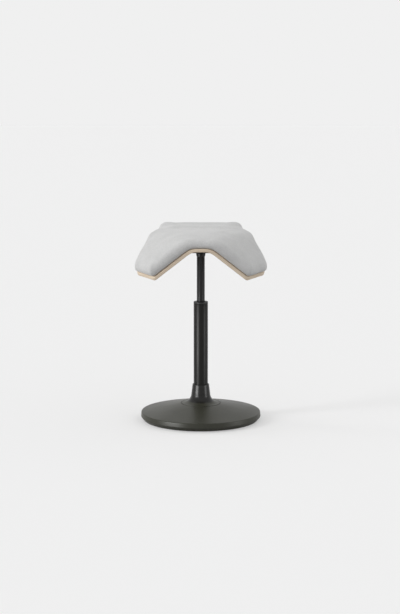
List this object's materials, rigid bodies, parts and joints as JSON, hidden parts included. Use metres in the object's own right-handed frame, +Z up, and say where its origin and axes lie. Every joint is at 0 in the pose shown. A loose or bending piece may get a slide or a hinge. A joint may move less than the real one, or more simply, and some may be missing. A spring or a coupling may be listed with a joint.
{
  "type": "saddle stool",
  "caption": "Saddle stool with a felt-padded folded plywood seat on a swivelling gas column and a weighted round base, with a height lever under one wing.",
  "frame": {"origin": "on the floor, on the column's axis, under the centre of the base", "axes": "+Z up along the column, -Y to the front of the seat (its narrow nose), +X to the sitter's left"},
  "size_m": [0.4588, 0.4224, 0.682],
  "materials": {
    "base_powder": "satin dark olive grey",
    "iron": "plain iron",
    "rubber": "matt black",
    "hub_gloss": "glossy near-black",
    "zinc": "zinc plated",
    "black_steel": "semi-gloss black",
    "black_cylinder": "semi-gloss black",
    "black_plastic": "matt black",
    "bright_steel": "ground steel",
    "pale_plastic": "natural nylon",
    "pale_plywood": "clear satin lacquer on birch veneers",
    "board": "bare board",
    "foam": "open-cell foam",
    "grey_felt": "light grey wool felt"
  },
  "bodies": {
    "base": {"base_cover": "base_powder", "base_weight": "iron", "foot_ring": "rubber", "hub": "hub_gloss", "hub_bolt_1": "zinc", "hub_bolt_2": "zinc", "hub_bolt_3": "zinc", "hub_bolt_4": "zinc", "column_tube": "black_steel", "guide_bush": "black_plastic", "bearing_lower_race": "bright_steel"},
    "column_core": {"bearing_upper_race": "bright_steel", "bearing_cage": "pale_plastic", "bearing_ball_1": "bright_steel", "bearing_ball_2": "bright_steel", "bearing_ball_3": "bright_steel", "bearing_ball_4": "bright_steel", "bearing_ball_5": "bright_steel", "bearing_ball_6": "bright_steel", "piston_rod": "bright_steel", "piston": "zinc", "piston_seal": "rubber", "rod_bumper": "rubber", "rod_washer": "zinc", "rod_clip": "bright_steel"},
    "seat": {"gas_cylinder": "black_cylinder", "rod_guide": "black_plastic", "valve_body": "zinc", "taper_socket": "black_steel", "seat_plate": "black_steel", "plate_screw_1": "zinc", "plate_screw_2": "zinc", "plate_screw_3": "zinc", "plate_screw_4": "zinc", "tee_nut_1": "zinc", "tee_nut_2": "zinc", "tee_nut_3": "zinc", "tee_nut_4": "zinc", "lever_pivot": "zinc", "seat_shell": "pale_plywood", "pad_board": "board", "pad_foam": "foam", "pad_cover": "grey_felt", "pad_screw_1": "zinc", "pad_screw_2": "zinc", "pad_screw_3": "zinc", "pad_screw_4": "zinc"},
    "lever": {"lever_arm": "black_steel", "lever_grip": "black_plastic"},
    "valve": {"valve_pin": "bright_steel"}
  },
  "joints": [
    {"name": "swivel", "type": "hinge", "parent": "base", "child": "column_core", "pos_m": [0, 0, 0.03], "axis": [0, 0, 1], "continuous": true},
    {"name": "lift", "type": "slide", "parent": "column_core", "child": "seat", "axis": [0, 0, 1], "range_m": [-0.15, 0]},
    {"name": "lever_pull", "type": "hinge", "parent": "seat", "child": "lever", "pos_m": [-0.04, 0, 0.6082], "axis": [0, 1, 0], "range_deg": [0, 5.7], "stiffness_Nm_per_rad": 8},
    {"name": "valve_travel", "type": "slide", "parent": "seat", "child": "valve", "axis": [0, 0, 1], "range_m": [-0.004, 0]}
  ],
  "couplings": [
    {"joint": "valve_travel", "follows": "lever_pull", "m_per_rad": -0.04}
  ]
}
